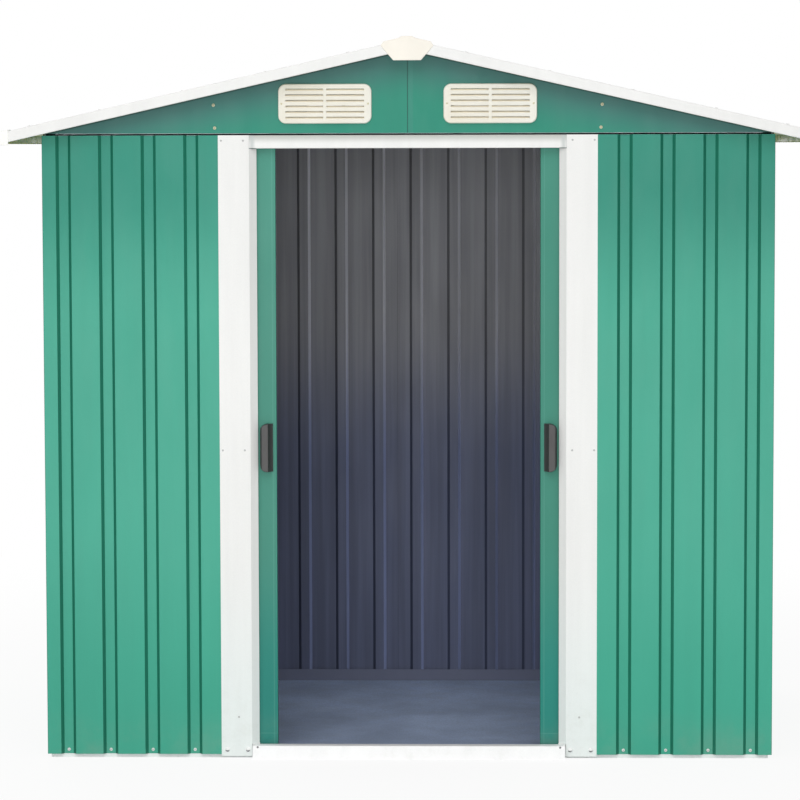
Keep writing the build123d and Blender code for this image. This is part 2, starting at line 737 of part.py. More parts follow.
# Every node of the shed, by name
def build():
    nodes = {}
    nodes["base_rails"] = base_rails()
    nodes["floor_track"] = floor_track()
    nodes["threshold"] = threshold()
    nodes["floor"] = floor()
    front = front_wall_left()
    nodes["front_wall_left"] = front
    nodes["front_wall_right"] = mirror(front, about=Plane.YZ)
    nodes["left_wall"] = on_left(side_wall())
    nodes["right_wall"] = on_right(side_wall())
    nodes["rear_wall_right"], nodes["rear_wall_left"] = rear_wall_halves()
    nodes["left_jamb"] = left_jamb()
    nodes["right_jamb"] = mirror(left_jamb(), about=Plane.YZ)
    nodes["head_rail"] = head_rail()
    nodes["door_top_track"] = door_top_track()
    nodes["top_channels"] = top_channels()
    nodes["wall_braces"] = wall_braces()
    plain = mirror(gable_half(False), about=Plane.YZ)
    lapped = gable_half(True)
    nodes["front_gable_left"] = plain
    nodes["front_gable_right"] = lapped
    nodes["rear_gable_right"] = Rot(0, 0, 180) * plain
    nodes["rear_gable_left"] = Rot(0, 0, 180) * lapped
    nodes["roof_beams"] = roof_beams()
    nodes["ridge_beam"] = ridge_beam()
    front_sheet, rear_sheet = roof_sheets()
    nodes["roof_right_front"] = front_sheet
    nodes["roof_right_rear"] = rear_sheet
    nodes["roof_left_front"] = mirror(front_sheet, about=Plane.YZ)
    nodes["roof_left_rear"] = mirror(rear_sheet, about=Plane.YZ)
    nodes["ridge_cap"] = ridge_cap()
    nodes["front_roof_trims"] = both_sides(roof_trim())
    nodes["rear_roof_trims"] = [Rot(0, 0, 180) * trim for trim in both_sides(roof_trim())]
    nodes["eave_trims"] = both_sides(eave_trim())
    nodes["peak_caps"] = front_and_rear(peak_cap())
    corner = both_sides(corner_cap())
    nodes["corner_caps"] = corner + [Rot(0, 0, 180) * cap for cap in corner]
    vents = both_sides(front_vent())
    nodes["front_vents"] = vents
    nodes["rear_vents"] = [Rot(0, 0, 180) * vent for vent in vents]
    makers = {"door_panel": door_panel, "door_rails": door_rails, "door_rollers": door_rollers,
              "door_guides": door_guides, "door_handle": door_handle}
    for name, maker in makers.items():
        made = maker()
        pieces = made if isinstance(made, list) else [made]
        nodes["right_" + name] = pieces
        nodes["left_" + name] = [mirror(piece, about=Plane.YZ) for piece in pieces]
    return nodes


os.makedirs("parts", exist_ok=True)
for name, shape in build().items():
    pieces = shape if isinstance(shape, list) else [shape]
    solids = [solid for piece in pieces for solid in piece.solids()]
    whole = solids[0] if len(solids) == 1 else Compound(solids)
    export_step(whole, os.path.join("parts", name + ".step"))
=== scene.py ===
import math
import random

import bmesh
import bpy
from mathutils import Matrix, Vector


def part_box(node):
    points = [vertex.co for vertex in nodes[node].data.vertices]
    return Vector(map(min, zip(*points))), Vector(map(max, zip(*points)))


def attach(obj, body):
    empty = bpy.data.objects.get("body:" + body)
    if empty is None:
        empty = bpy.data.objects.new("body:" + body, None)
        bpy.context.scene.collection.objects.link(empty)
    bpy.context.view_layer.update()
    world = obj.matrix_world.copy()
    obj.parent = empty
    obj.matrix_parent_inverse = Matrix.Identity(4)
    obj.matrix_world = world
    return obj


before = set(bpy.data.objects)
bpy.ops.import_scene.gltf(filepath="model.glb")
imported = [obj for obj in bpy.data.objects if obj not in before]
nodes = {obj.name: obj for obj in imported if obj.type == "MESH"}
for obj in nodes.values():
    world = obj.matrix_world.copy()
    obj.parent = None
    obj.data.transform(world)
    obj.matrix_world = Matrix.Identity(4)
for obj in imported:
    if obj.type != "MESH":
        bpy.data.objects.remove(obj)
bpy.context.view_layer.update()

# Looks of a metal shed: the materials of the CAD nodes, the small pieces that are made here,
# the floor, the lamps and the camera. X runs to the right across the front, the front faces -Y
# and Z is up. The sizes below and the places of the pieces are in mm, all else is in metres.
random.seed(7)
scene = bpy.context.scene
MM = 0.001
X, Y, Z = (1, 0, 0), (0, 1, 0), (0, 0, 1)

# Sizes of the part, in mm
HALF_WIDTH = 933.0         # outer faces of the side walls
HALF_DEPTH = 593.0         # outer faces of the front and rear walls
SHEET = 0.5                # thickness of the wall sheets
GROOVE_PITCH = 108.8
GROOVE_DEPTH = 8.0
ROOF_SLOPE = 0.2267        # rise over run
RIDGE_HEIGHT = 1833.5      # where the two slopes of the roof meet
BEAM_X = 495.0             # roof beams
SIDE_TOP_X = 915.0         # flanges of the side walls' top channels
OPENING_TOP = 1568.0
WALL_TOP = 1601.5
JAMB_FACE = -593.8         # flat front face of the jambs
SLANT_X = 396.0            # middle of the jambs' slants
SILL_NOSE = -617.0         # front edge of the threshold, at the floor
SILL_LEAN = 6.0            # how far its front leans back up to its top
SILL_TOP = 35.2
SILL_TILT = 0.17           # how much its front faces upwards
VENT_X = 210.0             # middles of the vents
VENT_HEIGHT = 1681.0
VENT_FACE = 602.0          # outer face of the vents
VENT_SLOTS = (102.0, 41.5) # half width and half height of the field of slots


# Colours
def srgb(r, g, b):
    """Linear colour of an 8-bit sRGB one."""
    def channel(c):
        c /= 255.0
        return c / 12.92 if c <= 0.04045 else ((c + 0.055) / 1.055) ** 2.4
    return channel(r), channel(g), channel(b), 1.0


# Painted sheets
GREEN = srgb(73, 169, 145)
# Darker green towards the walls' top and foot: painted shade
GREEN_TOP_SHADE = srgb(45, 136, 117)
GREEN_LOW_SHADE = srgb(62, 165, 140)
# Darker green of the gables: painted shade
GREEN_GABLE_SHADE = srgb(40, 137, 115)
# Band and line under the eaves: painted shade and painted shadow
EAVE_SHADE_GREEN = srgb(72, 103, 109)
EAVE_SHADOW_LINE = srgb(34, 66, 56)
# Door leaves darker than the walls, the right one more, and darker still at their feet: painted
# shade
DOOR_LEFT_SHADED = srgb(71, 144, 126)
DOOR_RIGHT_SHADED = srgb(61, 137, 118)
DOOR_LOW_SHADED = srgb(30, 131, 120)
# Darker green on the grooves' and ribs' slopes: painted crease shade
CREASE_SHADE = srgb(20, 106, 84)
GREEN_ROOF = srgb(76, 164, 140)
# Dark lap joint of the gables, with a painted highlight beside it
SEAM_LINE = srgb(30, 72, 66)
SEAM_HIGHLIGHT = srgb(80, 138, 130)
# Lighter lines along the doors' fold lines: painted highlights
FOLD_HIGHLIGHT = srgb(104, 168, 152)
DUST = srgb(150, 160, 146)

# Sides that face inwards
INNER_GREY = srgb(164, 165, 173)
# Bluer, darker grey of the inner sides low down: painted shade
INNER_BLUE_SHADE = srgb(124, 133, 166)
INNER_RAIL = srgb(112, 118, 140)
UNDER_ROOF = srgb(214, 212, 150)
# Yellow-olive inner face of the eave trims: painted bounce light
UNDER_EAVE_BOUNCE = srgb(255, 243, 130)

# White trims
WHITE = srgb(239, 239, 237)
# Darker white towards the roof: painted shade
WHITE_HIGH_SHADE = srgb(233, 233, 231)
WHITE_LOW = srgb(238, 245, 243)
HEAD_WHITE = srgb(236, 236, 234)
# Head rail's darker top and band at the jambs' slants: painted shade
HEAD_SHADE = srgb(184, 186, 180)
HEAD_SLANT_SHADE = srgb(190, 196, 194)
WHITE_SILL = srgb(254, 254, 254)
WHITE_RAIL = srgb(252, 253, 250)
SCUFF = srgb(196, 200, 188)

# Plastics and rubber
CREAM = srgb(231, 229, 219)
CREAM_AGED = srgb(226, 218, 196)
CREAM_CAP = srgb(241, 236, 225)
CREAM_CAP_AGED = srgb(246, 238, 214)
CAP_WHITE = srgb(246, 246, 242)
# Light warm tone in the vents' slots: painted bounce light
SLOT_BOUNCE_LIGHT = srgb(255, 246, 224)
NYLON = srgb(232, 232, 226)
CHARCOAL = srgb(84, 83, 83)
# Darker side faces of the handles: painted shade in the grip's hollow
CHARCOAL_SIDE_SHADE = srgb(60, 62, 62)
SEALANT = srgb(240, 242, 240)
# Black strip in the gap under the gables: painted shadow
SHADOW_GAP_BLACK = srgb(8, 9, 9)

# Zinc, floor and screws
ZINC = srgb(176, 180, 184)
FLOOR_GREY = srgb(174, 191, 222)
SCREW_WHITE = srgb(238, 238, 236)
SCREW_CREAM = srgb(214, 208, 176)
SCREW_GREY = srgb(196, 197, 196)
SCREW_DARK = srgb(112, 110, 112)
DOME_BRIGHT = srgb(248, 249, 248)
# Dark underside of the domed screw heads: painted shade
DOME_UNDER_SHADE = srgb(76, 80, 82)


# Shader helpers
class Shader:
    """A Principled material built up from procedural nodes."""

    def __init__(self, name):
        self.mat = bpy.data.materials.new(name)
        self.mat.use_nodes = True
        self.tree = self.mat.node_tree
        self.bsdf = self.tree.nodes["Principled BSDF"]
        self.coords = self.add("ShaderNodeTexCoord").outputs["Object"]
        self.normal = self.add("ShaderNodeNewGeometry").outputs["True Normal"]

    def add(self, kind, **props):
        made = self.tree.nodes.new(kind)
        for key, value in props.items():
            setattr(made, key, value)
        return made

    def link(self, source, target):
        """Links an output, or sets a constant."""
        if hasattr(source, "links"):
            self.tree.links.new(source, target)
        else:
            target.default_value = source

    def math(self, operation, a, b=0.0):
        made = self.add("ShaderNodeMath", operation=operation)
        self.link(a, made.inputs[0])
        self.link(b, made.inputs[1])
        return made.outputs[0]

    def product(self, value, *others):
        for other in others:
            value = self.math("MULTIPLY", value, other)
        return value

    def dot(self, vector, direction):
        made = self.add("ShaderNodeVectorMath", operation="DOT_PRODUCT")
        self.link(vector, made.inputs[0])
        self.link(direction, made.inputs[1])
        return made.outputs["Value"]

    def along(self, axis):
        """Place along an axis."""
        return self.dot(self.coords, axis)

    def height(self):
        return self.along(Z)

    def off(self, value, place):
        """Distance of a value from a place."""
        return self.math("ABSOLUTE", self.math("SUBTRACT", value, place))

    def off_middle(self):
        """Distance from the plane X = 0."""
        return self.math("ABSOLUTE", self.along(X))

    def place(self, scale=(1, 1, 1), shift=(0, 0, 0)):
        made = self.add("ShaderNodeMapping")
        self.link(self.coords, made.inputs["Vector"])
        made.inputs["Scale"].default_value = scale
        made.inputs["Location"].default_value = shift
        return made.outputs["Vector"]

    def noise(self, scale, detail=3.0, rough=0.5, stretch=(1, 1, 1), shift=(0, 0, 0)):
        made = self.add("ShaderNodeTexNoise")
        self.link(self.place(stretch, shift), made.inputs["Vector"])
        made.inputs["Scale"].default_value = scale
        made.inputs["Detail"].default_value = detail
        made.inputs["Roughness"].default_value = rough
        return made.outputs["Fac"]

    def ramp(self, value, low, high, out_low=0.0, out_high=1.0):
        """Smooth step from out_low, where the value is at low, to out_high."""
        made = self.add("ShaderNodeMapRange", interpolation_type="SMOOTHSTEP")
        self.link(value, made.inputs["Value"])
        for key, number in zip(("From Min", "From Max", "To Min", "To Max"),
                               (low, high, out_low, out_high)):
            made.inputs[key].default_value = number
        return made.outputs["Result"]

    def mix(self, factor, a, b):
        made = self.add("ShaderNodeMix", data_type="RGBA")
        self.link(factor, made.inputs[0])
        self.link(a, made.inputs[6])
        self.link(b, made.inputs[7])
        return made.outputs[2]

    def shade(self, colour, value):
        """The colour scaled by a value near 1."""
        made = self.add("ShaderNodeVectorMath", operation="SCALE")
        self.link(colour[:3] if isinstance(colour, tuple) else colour, made.inputs[0])
        self.link(value, made.inputs["Scale"])
        return made.outputs["Vector"]

    def bump(self, height, strength, distance, before=None):
        made = self.add("ShaderNodeBump")
        made.inputs["Strength"].default_value = strength
        made.inputs["Distance"].default_value = distance
        self.link(height, made.inputs["Height"])
        if before is not None:
            self.link(before, made.inputs["Normal"])
        return made.outputs["Normal"]

    def finish(self, colour, rough, normal=None, metallic=0.0, specular=0.5):
        self.link(colour, self.bsdf.inputs["Base Color"])
        self.bsdf.inputs["Specular IOR Level"].default_value = specular
        self.link(rough, self.bsdf.inputs["Roughness"])
        self.bsdf.inputs["Metallic"].default_value = metallic
        if normal is not None:
            self.link(normal, self.bsdf.inputs["Normal"])
        return self.mat


# Materials
# The numbers of a ramp are the value's low and high and what comes out at each. Places are in
# metres, and a lean is 0 on a flat, about 0.7 on a groove's or rib's slope and 1 on an edge.
# Heights of the walls' darker top and foot: painted shade
WALL_HIGH, WALL_LOW = (1.12, 1.5), (0.16, 0.62)        # heights over which tones change
# Heights of the inner sides' darker, bluer foot: painted shade
INNER_SHADE_FADE, INNER_SHADE_TINT = (0.55, 1.15), (0.65, 1.1)
# Heights of the trims' darker top: painted shade
TRIM_HIGH, TRIM_LOW = (0.9, 1.5), (0.1, 0.55)
# Depths of the painted shade and shadow line under the eaves
EAVE_SHADE_BAND, EAVE_SHADOW_EDGE = (0.0, 0.15), (0.0175, 0.0225)   # depths below the roof's slope
SKIN = (0.0008, 0.0004)                                # depths just in front of a back face


def paint_surface(s, colour, base_rough=0.42, panel=0.05):
    """Coated sheet: slow panel tone, faint vertical wash, orange peel and slight dents."""
    tone = s.ramp(s.noise(1.3, 2.0), 0.3, 0.7, 1.0 - panel, 1.0 + panel)
    wash = s.ramp(s.noise(3.0, 4.0, 0.6, (9.0, 9.0, 0.5), (3.1, 1.7, 0.4)),
                  0.3, 0.75, 1.015, 0.975)
    grain = s.ramp(s.noise(420.0, 2.0), 0.2, 0.8, 0.985, 1.015)
    colour = s.shade(colour, s.product(tone, wash, grain))
    rough = s.ramp(s.noise(14.0, 4.0, 0.6, (1, 1, 0.35)),
                   0.25, 0.75, base_rough - 0.06, base_rough + 0.08)
    peel = s.bump(s.noise(650.0, 2.0), 0.12, 0.0004)
    dents = s.bump(s.noise(2.3, 2.0, 0.45, (1.0, 1.0, 0.45), (7.0, 2.0, 1.0)), 0.35, 0.006, peel)
    return colour, rough, dents


def back_coat(s, across=None):
    """Grey primer of an inner side with vertical streaks, painted shade that darkens and blues it
    towards the floor, and on slopes that face across a painted highlight one way and painted shade
    the other.
    """
    z = s.height()
    streaks = s.ramp(s.noise(2.2, 4.0, 0.6, (13.0, 13.0, 0.3), (1.0, 5.0, 2.0)),
                     0.35, 0.7, 0.80, 1.08)
    # Darker towards the floor: painted shade
    tone = s.product(streaks, s.ramp(z, *INNER_SHADE_FADE, 0.6, 0.89))
    if across is not None:
        lean = s.dot(s.normal, across)
        # Slopes facing one way across get a painted highlight, those facing the other way painted
        # shade
        lit = s.product(s.ramp(lean, 0.3, 0.5), s.ramp(lean, 0.85, 0.95, 1.0, 0.0))
        dark = s.product(s.ramp(lean, -0.5, -0.3, 1.0, 0.0), s.ramp(lean, -0.95, -0.85))
        brighten = s.math("ADD", s.product(lit, 1.5), 1.0)
        darken = s.math("SUBTRACT", 1.0, s.product(dark, 0.45))
        tone = s.product(tone, brighten, darken)
    # Bluer low down: painted shade
    return s.shade(s.mix(s.ramp(z, *INNER_SHADE_TINT, 1.0, 0.0), INNER_GREY, INNER_BLUE_SHADE), tone)


def eave_shade(s, face):
    """Painted shade under the roof's trims, with a thin painted shadow line along their lower
    edge.
    """
    fall = s.product(s.off_middle(), ROOF_SLOPE)
    roof = s.math("SUBTRACT", RIDGE_HEIGHT * MM, fall)
    below = s.math("SUBTRACT", roof, s.height())
    face = s.mix(s.ramp(below, *EAVE_SHADE_BAND, 0.75, 0.0), face, EAVE_SHADE_GREEN)
    return s.mix(s.ramp(below, *EAVE_SHADOW_EDGE, 0.85, 0.0), face, EAVE_SHADOW_LINE)


def sheet_material(name, tones, outward, across=None, inner=None, back_y=None, eave=False,
                   lines=()):
    """Painted sheet with its own high, middle and low colours on the side that faces outward.

    Its slopes that face across get a darker crease green: painted shade. The darker high and
    low colours of the walls and doors are painted shade too, and eave adds the painted shade
    under the roof. inner is a plain colour of the other side. Where back_y is given, what lies
    at that Y counts as outer too. lines holds (axis, place, half width, strength, colour), among
    them dark joints and painted highlights.
    """
    s = Shader(name)
    outer = s.ramp(s.dot(s.normal, outward), 0.0, 0.08)
    if back_y is not None:
        near_back = s.ramp(s.along(Y), back_y - SKIN[0], back_y - SKIN[1])
        outer = s.math("MAXIMUM", outer, near_back)
    z = s.height()
    top, middle, low = tones
    # Darker towards the top and the foot: painted shade
    face = s.mix(s.ramp(z, *WALL_HIGH, 0.0, 0.9), middle, top)
    face = s.mix(s.ramp(z, *WALL_LOW, 0.9, 0.0), face, low)
    # Painted shade and shadow line under the eaves
    if eave:
        face = eave_shade(s, face)
    dust = s.product(s.ramp(z, 0.012, 0.14, 0.22, 0.0), s.ramp(s.noise(7.0, 5.0, 0.65), 0.35, 0.7))
    face = s.mix(dust, face, DUST)
    if across is not None:
        # Slopes that face across: painted crease shade
        lean = s.math("ABSOLUTE", s.dot(s.normal, across))
        crease = s.product(s.ramp(lean, 0.3, 0.5), s.ramp(lean, 0.8, 0.95, 1.0, 0.0))
        face = s.mix(s.product(crease, 0.92), face, CREASE_SHADE)
    for axis, place, half, strength, colour in lines:
        off = s.off(s.along(axis), place)
        face = s.mix(s.ramp(off, half * 0.5, half * 1.3, strength, 0.0), face, colour)
    colour, rough, normal = paint_surface(s, s.mix(outer, inner or back_coat(s, across), face))
    return s.finish(colour, rough, normal, specular=0.25)


def head_bands(s, base):
    """Painted shade under the wall top, and a darker band of painted shade where the head meets
    each jamb's slant.
    """
    shade = s.ramp(s.height(), (OPENING_TOP + 10) * MM, (WALL_TOP - 1.5) * MM, 0.0, 0.9)
    base = s.mix(shade, base, HEAD_SHADE)
    off = s.off(s.off_middle(), SLANT_X * MM)
    return s.mix(s.ramp(off, 0.0, 0.0105, 0.75, 0.0), base, HEAD_SLANT_SHADE)


def trim_material(name, colour, rough=0.38, inner=None, low=None, high=None, head=False,
                  specular=0.3):
    """White coated steel, scuffed low down.

    low and high are its colours near the floor and the roof, inner that of sides which face
    the middle of the shed.
    """
    s = Shader(name)
    z = s.height()
    base = s.mix(s.ramp(z, *TRIM_LOW, 0.8, 0.0), colour, low) if low else colour
    if high:
        base = s.mix(s.ramp(z, *TRIM_HIGH), base, high)
    if head:
        base = head_bands(s, base)
    scuff = s.product(s.ramp(z, 0.0, 0.35, 0.16, 0.0), s.ramp(s.noise(22.0, 5.0, 0.7), 0.45, 0.75))
    base = s.mix(scuff, base, SCUFF)
    if inner:
        from_middle = s.add("ShaderNodeVectorMath", operation="MULTIPLY")
        s.link(s.coords, from_middle.inputs[0])
        from_middle.inputs[1].default_value = (1, 1, 0)
        facing = s.dot(s.normal, from_middle.outputs["Vector"])
        base = s.mix(s.ramp(facing, 0.0, 0.1), inner, base)
    colour, rough, normal = paint_surface(s, base, rough, 0.012)
    return s.finish(colour, rough, normal, specular=specular)


def galvanised(name):
    """Zinc coated steel with its spangle."""
    s = Shader(name)
    spangle = s.add("ShaderNodeTexVoronoi")
    s.link(s.place(), spangle.inputs["Vector"])
    spangle.inputs["Scale"].default_value = 90.0
    cells = spangle.outputs["Distance"]
    tone = s.ramp(cells, 0.0, 0.6, 0.82, 1.06)
    cloud = s.ramp(s.noise(6.0, 4.0), 0.3, 0.7, 0.9, 1.05)
    colour = s.shade(ZINC, s.product(tone, cloud))
    rough = s.ramp(cells, 0.0, 0.7, 0.36, 0.52)
    return s.finish(colour, rough, s.bump(cells, 0.1, 0.0005), 0.85)


def plastic(name, colour, rough, peel=0.1, aged=None, side_shading=None, slots=None, specular=0.35):
    """Moulded plastic with a fine sparked texture.

    aged is the colour of its yellowed patches. side_shading is a colour of painted light or shade
    on the surfaces that don't face along Y, where slots is given only inside that field: (X, half
    width, Z, half height).
    """
    s = Shader(name)
    base = s.shade(colour, s.ramp(s.noise(9.0, 3.0), 0.3, 0.7, 0.97, 1.03))
    if aged is not None:
        patches = s.ramp(s.noise(5.0, 3.0, 0.5, (1, 1, 1), (4, 2, 9)), 0.4, 0.75, 0.0, 0.5)
        base = s.mix(patches, base, aged)
    if side_shading is not None:
        # Surfaces that don't face along Y take painted light or shade
        tilt = s.ramp(s.math("ABSOLUTE", s.dot(s.normal, Y)), 0.9, 0.98, 1.0, 0.0)
        if slots is not None:
            x, half_width, z, half_height = slots
            in_width = s.ramp(s.off(s.off_middle(), x), half_width, half_width + 0.003, 1.0, 0.0)
            in_height = s.ramp(s.off(s.height(), z), half_height, half_height + 0.003, 1.0, 0.0)
            tilt = s.product(tilt, in_width, in_height)
        base = s.mix(tilt, base, side_shading)
    rough = s.ramp(s.noise(30.0, 3.0), 0.3, 0.7, rough - 0.05, rough + 0.07)
    return s.finish(base, rough, s.bump(s.noise(1500.0, 2.0), peel, 0.0003), specular=specular)


def floor_board(name):
    """Grey coated floor board: grit, scuffs and a few darker patches, and painted light that makes
    it lighter to the rear.
    """
    s = Shader(name)
    patch = s.ramp(s.noise(3.5, 5.0, 0.6), 0.3, 0.72, 0.8, 1.12)
    grit = s.ramp(s.noise(260.0, 3.0), 0.3, 0.7, 0.88, 1.1)
    # Lighter towards the rear: painted light
    depth = s.ramp(s.along(Y), -0.55, 0.35, 0.93, 1.24)
    colour = s.shade(FLOOR_GREY, s.product(patch, grit, depth))
    rough = s.ramp(s.noise(11.0, 4.0), 0.3, 0.7, 0.5, 0.8)
    return s.finish(colour, rough, s.bump(s.noise(300.0, 3.0), 0.4, 0.001))


def dome_plating(name):
    """Bright cap of a screw, with painted shade on its underside."""
    s = Shader(name)
    tone = s.ramp(s.noise(160.0, 3.0), 0.3, 0.7, 0.96, 1.02)
    # Darker where the head faces down: painted shade
    under_shade = s.ramp(s.dot(s.normal, Z), -0.5, 0.0, 0.95, 0.0)
    colour = s.mix(under_shade, s.shade(DOME_BRIGHT, tone), DOME_UNDER_SHADE)
    rough = s.ramp(s.noise(90.0, 2.0), 0.3, 0.7, 0.22, 0.36)
    return s.finish(colour, rough, s.bump(s.noise(900.0), 0.1, 0.0002))


def dress(node, material):
    """Gives every material slot of a CAD node the material."""
    data = nodes[node].data
    if not data.materials:
        data.materials.append(material)
    for i in range(len(data.materials)):
        data.materials[i] = material


# Materials of the CAD nodes
# The walls' darker top and foot greens are painted shade
WALL = (GREEN_TOP_SHADE, GREEN, GREEN_LOW_SHADE)
# The gables' darker green is painted shade
GABLE = (GREEN_GABLE_SHADE,) * 3
ROOF = (GREEN_ROOF,) * 3
# The leaves' darker greens are painted shade of the jambs and the doorway
DOORS = {"left": (DOOR_LEFT_SHADED, DOOR_LEFT_SHADED, DOOR_LOW_SHADED),
         "right": (DOOR_RIGHT_SHADED, DOOR_RIGHT_SHADED, DOOR_LOW_SHADED)}
DOOR_EDGE_FOLD = 0.010     # fold line from a leaf's leading edge
DOOR_FOOT_FOLD = 0.0605    # height of the fold line over a leaf's foot
# The gables' lap joint: a dark line, and beside it a painted highlight
seam_and_highlight = [(X, 0.0, 0.0013, 0.8, SEAM_LINE), (X, 0.0085, 0.006, 0.25, SEAM_HIGHLIGHT)]
for side, sign in (("left", -1), ("right", 1)):
    dress("front_wall_" + side,
          sheet_material("paint_front_" + side, WALL, (0.5 * sign, -1, 0), X))
    dress(side + "_wall", sheet_material("paint_wall_" + side, WALL, (sign, 0, 0), Y))
    dress("rear_wall_" + side,
          sheet_material("paint_rear_" + side, WALL, (0.5 * sign, 1, 0), X))
    for end, way in (("front", -1), ("rear", 1)):
        dress("%s_gable_%s" % (end, side),
              sheet_material("paint_gable_%s_%s" % (end, side), GABLE, (0, way, -0.3),
                             eave=True, lines=seam_and_highlight))
        dress("roof_%s_%s" % (side, end),
              sheet_material("paint_roof_%s_%s" % (side, end), ROOF, Z, Y, UNDER_ROOF))
    door_low, door_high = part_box(side + "_door_panel")
    lead = door_high.x if side == "left" else door_low.x
    # Lighter lines at the leaves' fold lines: painted highlights
    fold_highlights = [(X, lead + DOOR_EDGE_FOLD * sign, 0.0012, 0.3, FOLD_HIGHLIGHT),
             (Z, DOOR_FOOT_FOLD, 0.0012, 0.25, FOLD_HIGHLIGHT)]
    dress(side + "_door_panel",
          sheet_material("paint_door_" + side, DOORS[side], (0, -1, 0), X,
                         back_y=door_high.y, lines=fold_highlights))

# The trims' darker white towards the roof is painted shade
white = trim_material("white_coat", WHITE, low=WHITE_LOW, high=WHITE_HIGH_SHADE)
head_white = trim_material("white_head_coat", HEAD_WHITE, head=True)
# The eave trims take the darker white of the trims' tops, painted shade, and a yellow-olive inner
# tone, painted bounce light
eave_white = trim_material("white_eave_coat", WHITE_HIGH_SHADE, 0.24, UNDER_EAVE_BOUNCE, specular=0.5)
sill_white = trim_material("white_sill_coat", WHITE_SILL, 0.42, specular=0.5)
rail_white = trim_material("white_rail_coat", WHITE_RAIL, 0.5, INNER_RAIL)
primer = Shader("primer_coat")
primer.finish(*paint_surface(primer, back_coat(primer), 0.5))
zinc = galvanised("zinc_coat")
# The vents' louvres in the slots take a light warm tone: painted bounce light
slots = (VENT_X * MM, VENT_SLOTS[0] * MM, VENT_HEIGHT * MM, VENT_SLOTS[1] * MM)
cream = plastic("cream_moulding", CREAM, 0.45, aged=CREAM_AGED, side_shading=SLOT_BOUNCE_LIGHT, slots=slots)
cream_cap = plastic("cream_cap_moulding", CREAM_CAP, 0.45, aged=CREAM_CAP_AGED)
white_cap = plastic("white_cap_moulding", CAP_WHITE, 0.45)
nylon = plastic("nylon_white", NYLON, 0.4)
# The handles' side faces take a darker tone: painted shade
charcoal = plastic("charcoal_moulding", CHARCOAL, 0.5, 0.25, side_shading=CHARCOAL_SIDE_SHADE, specular=0.3)
for material, names in (
        (white, ("left_jamb", "right_jamb", "ridge_cap", "front_roof_trims", "rear_roof_trims",
                 "floor_track")),
        (head_white, ("head_rail",)),
        (eave_white, ("eave_trims",)),
        (rail_white, ("base_rails",)),
        (sill_white, ("threshold",)),
        (primer.mat, ("top_channels",)),
        (zinc, ("door_top_track", "wall_braces", "roof_beams", "ridge_beam", "left_door_rails",
                "right_door_rails")),
        (floor_board("floor_coat"), ("floor",)),
        (cream, ("front_vents", "rear_vents")),
        (cream_cap, ("peak_caps",)),
        (white_cap, ("corner_caps",)),
        (nylon, ("left_door_rollers", "left_door_guides", "right_door_rollers",
                 "right_door_guides")),
        (charcoal, ("left_door_handle", "right_door_handle"))):
    for name in names:
        dress(name, material)


# Mesh helpers
def circle(bm, radius, height, count):
    """A ring of vertices round Z."""
    angles = [2 * math.pi * i / count for i in range(count)]
    return [bm.verts.new((radius * math.cos(a), radius * math.sin(a), height)) for a in angles]


def skin(bm, rings, capped=True):
    """Faces from each ring of vertices to the next, and over both ends where capped."""
    count = len(rings[0])
    for a, b in zip(rings, rings[1:]):
        for i in range(count):
            j = (i + 1) % count
            bm.faces.new((a[i], a[j], b[j], b[i]))
    if capped:
        bm.faces.new(rings[0])
        bm.faces.new(rings[-1])


def as_mesh(name, bm, turn_out=True):
    """The finished mesh, with its faces turned outwards first if asked."""
    if turn_out:
        bmesh.ops.recalc_face_normals(bm, faces=bm.faces)
    mesh = bpy.data.meshes.new(name)
    bm.to_mesh(mesh)
    bm.free()
    return mesh


def as_object(name, mesh, material, sharp=None):
    """An object in the scene: flat, or smooth but for edges over the angle sharp, in degrees."""
    mesh.materials.append(material)
    made = bpy.data.objects.new(name, mesh)
    scene.collection.objects.link(made)
    if sharp is not None:
        for face in mesh.polygons:
            face.use_smooth = True
        mesh.set_sharp_from_angle(angle=math.radians(sharp))
    return made


# Fasteners
def head_template(radius, rise, flange=0.0):
    """Screw head on +Z with a cross recess; a flange widens its foot."""
    bm = bmesh.new()
    count = 20
    steps = [(radius, 0.0)]
    if flange:
        steps = [(radius + flange, 0.0), (radius + flange, 0.16 * rise)]
    steps += [(radius, 0.2 * rise), (radius * 0.95, 0.5 * rise), (radius * 0.8, 0.8 * rise),
              (radius * 0.62, rise)]
    rings = [circle(bm, r, z, count) for r, z in steps]
    skin(bm, rings, capped=False)
    top = rings[-1]

    # Recess: a cross-shaped hole in the top, with walls and a floor
    arm, half, recess_floor = radius * 0.42, radius * 0.11, 0.45 * rise
    outline = []
    for quarter in range(4):
        turn = Matrix.Rotation(quarter * math.pi / 2, 3, "Z")
        outline += [turn @ Vector(p)
                    for p in ((arm, -half, rise), (arm, half, rise), (half, half, rise))]
    upper = [bm.verts.new(p) for p in outline]
    lower = [bm.verts.new((p.x, p.y, recess_floor)) for p in outline]
    corners = len(outline)
    edges = [bm.edges.new((upper[i], upper[(i + 1) % corners])) for i in range(corners)]
    edges += [bm.edges.get((top[i], top[(i + 1) % count])) for i in range(count)]
    bmesh.ops.triangle_fill(bm, edges=edges, use_beauty=True)
    skin(bm, [upper, lower], capped=False)
    bm.faces.new(lower)
    for face in list(bm.faces):
        if all(v in upper for v in face.verts):
            bm.faces.remove(face)
    return as_mesh("head", bm)


